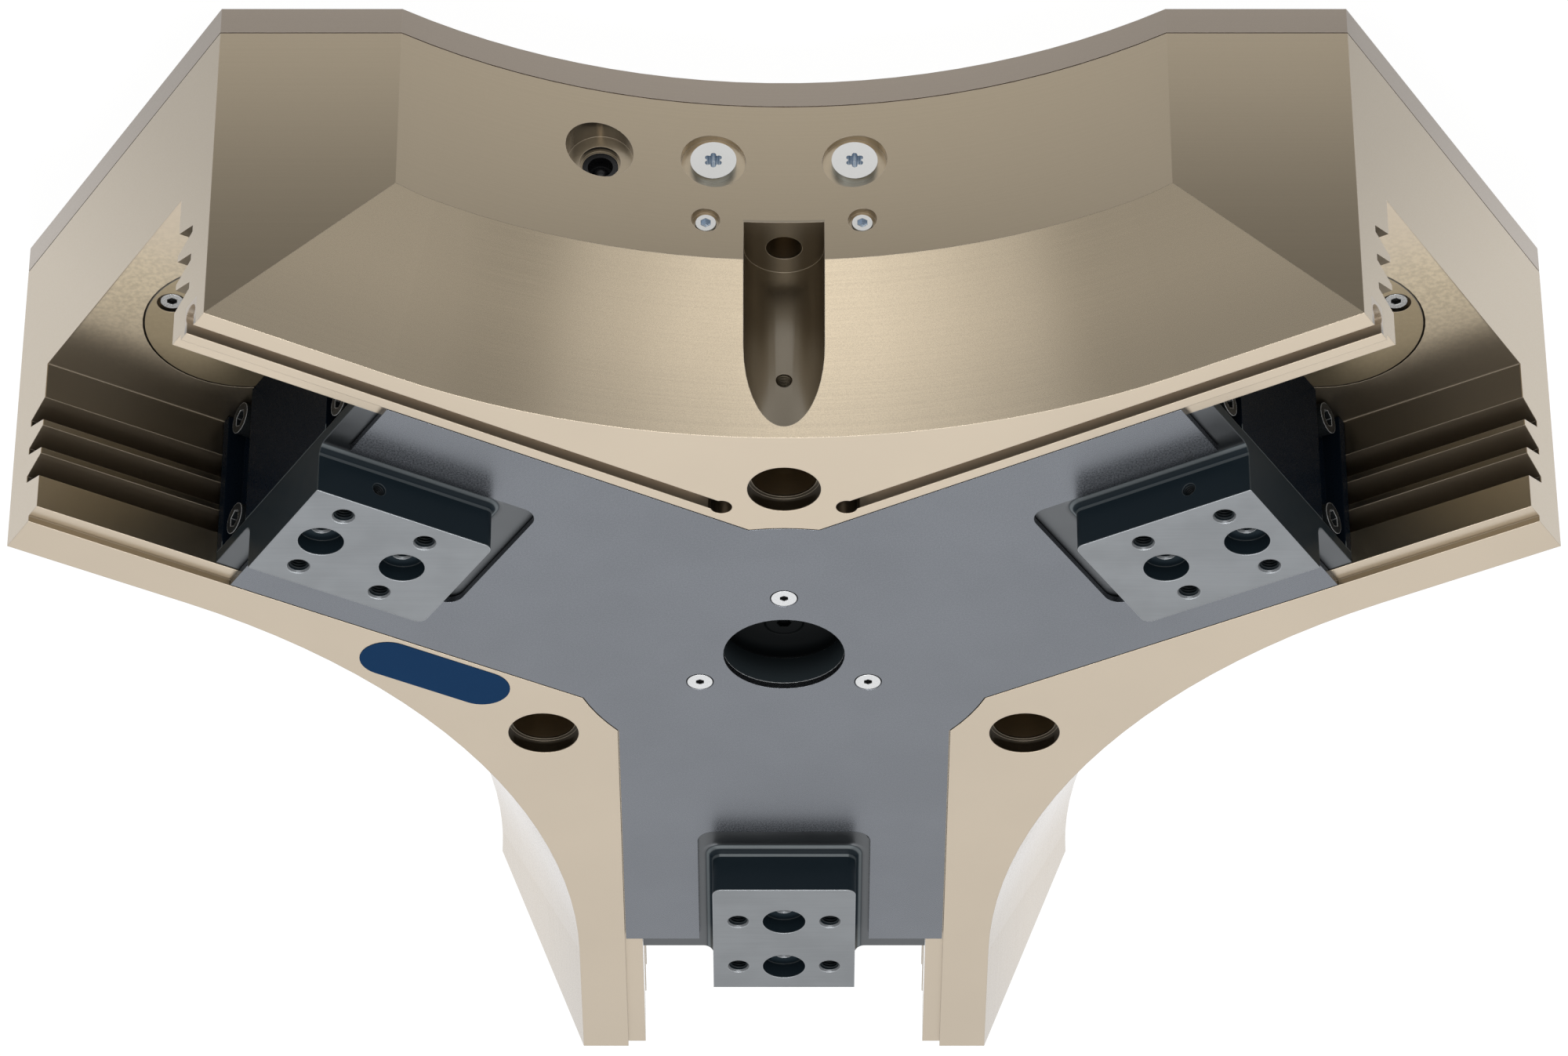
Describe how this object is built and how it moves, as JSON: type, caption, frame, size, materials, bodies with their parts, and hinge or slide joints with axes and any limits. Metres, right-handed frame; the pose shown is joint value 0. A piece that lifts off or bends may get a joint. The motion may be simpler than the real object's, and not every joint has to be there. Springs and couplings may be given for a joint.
{
  "type": "long-stroke centric gripper",
  "caption": "Pneumatic centric gripper for a robot arm: a flat Y-shaped body whose base jaws slide together along slotted arms, under a thin cover plate, to grip large round parts.",
  "frame": {"origin": "centre of the rear mounting face, on the axis that the jaws close to", "axes": "+Z from the rear face towards the jaw faces; +Y along the arm of jaw 1; the air ports face -Y"},
  "size_m": [0.475, 0.4114, 0.129],
  "materials": {
    "anodised_body": "satin light bronze hard-anodised aluminium",
    "rear_plate": "satin bronze hard-anodised aluminium, a shade greyer",
    "cover_plate": "matt slate-grey anodised sheet",
    "black_metal": "matt black anodised",
    "jaw_steel": "blackened steel with a ground face",
    "steel_screw": "plain steel fastener",
    "dark_screw": "blackened steel fastener",
    "zinc_plug": "bright zinc-plated",
    "inner_steel": "machined steel",
    "bearing_steel": "polished bearing steel",
    "rod_chrome": "hard-chromed rod",
    "inner_aluminium": "machined aluminium",
    "floor_cover": "satin bronze hard-anodised aluminium",
    "bronze_bush": "bearing bronze",
    "seal_rubber": "moulded seal",
    "black_plastic": "black plastic insert"
  },
  "bodies": {
    "body": {"housing": "anodised_body", "rear_cover": "rear_plate", "rear_cover_screws": "steel_screw", "front_cover": "cover_plate", "front_cover_screws": "steel_screw", "centre_hub": "black_metal", "centre_hub_screw": "black_metal", "centre_post": "inner_steel", "pinion_bearings": "bearing_steel", "port_plugs": "zinc_plug", "bleed_plugs": "zinc_plug", "purge_port_insert": "black_plastic", "floor_cover_screws": "steel_screw", "rod_anchor_screws": "steel_screw", "rod_nuts": "steel_screw", "piston_rod_1": "rod_chrome", "piston_1": "inner_aluminium", "piston_seal_1": "seal_rubber", "rod_anchor_1": "inner_steel", "floor_cover_1": "floor_cover", "piston_rod_2": "rod_chrome", "piston_2": "inner_aluminium", "piston_seal_2": "seal_rubber", "rod_anchor_2": "inner_steel", "floor_cover_2": "floor_cover", "piston_rod_3": "rod_chrome", "piston_3": "inner_aluminium", "piston_seal_3": "seal_rubber", "rod_anchor_3": "inner_steel", "floor_cover_3": "floor_cover"},
    "jaw_1": {"base_jaw_1": "jaw_steel", "end_plate_1": "black_metal", "end_plate_screws_1": "dark_screw", "rack_1": "inner_steel", "rack_screws_1": "steel_screw", "rod_bush_1": "bronze_bush"},
    "jaw_2": {"base_jaw_2": "jaw_steel", "end_plate_2": "black_metal", "end_plate_screws_2": "dark_screw", "rack_2": "inner_steel", "rack_screws_2": "steel_screw", "rod_bush_2": "bronze_bush"},
    "jaw_3": {"base_jaw_3": "jaw_steel", "end_plate_3": "black_metal", "end_plate_screws_3": "dark_screw", "rack_3": "inner_steel", "rack_screws_3": "steel_screw", "rod_bush_3": "bronze_bush"},
    "pinion": {"sync_pinion": "inner_steel"}
  },
  "joints": [
    {"name": "jaw_slide_1", "type": "slide", "parent": "body", "child": "jaw_1", "axis": [0, 1, 0], "range_m": [-0.009, 0.051]},
    {"name": "jaw_slide_2", "type": "slide", "parent": "body", "child": "jaw_2", "axis": [-0.866, -0.5, 0], "range_m": [-0.009, 0.051]},
    {"name": "jaw_slide_3", "type": "slide", "parent": "body", "child": "jaw_3", "axis": [0.866, -0.5, 0], "range_m": [-0.009, 0.051]},
    {"name": "pinion_turn", "type": "hinge", "parent": "body", "child": "pinion", "pos_m": [0, 0, 0.08], "axis": [0, 0, 1], "range_deg": [-121.8, 21.6]}
  ],
  "couplings": [
    {"joint": "jaw_slide_2", "follows": "jaw_slide_1", "ratio": 1},
    {"joint": "jaw_slide_3", "follows": "jaw_slide_1", "ratio": 1},
    {"joint": "pinion_turn", "follows": "jaw_slide_1", "rad_per_m": -41.667}
  ]
}
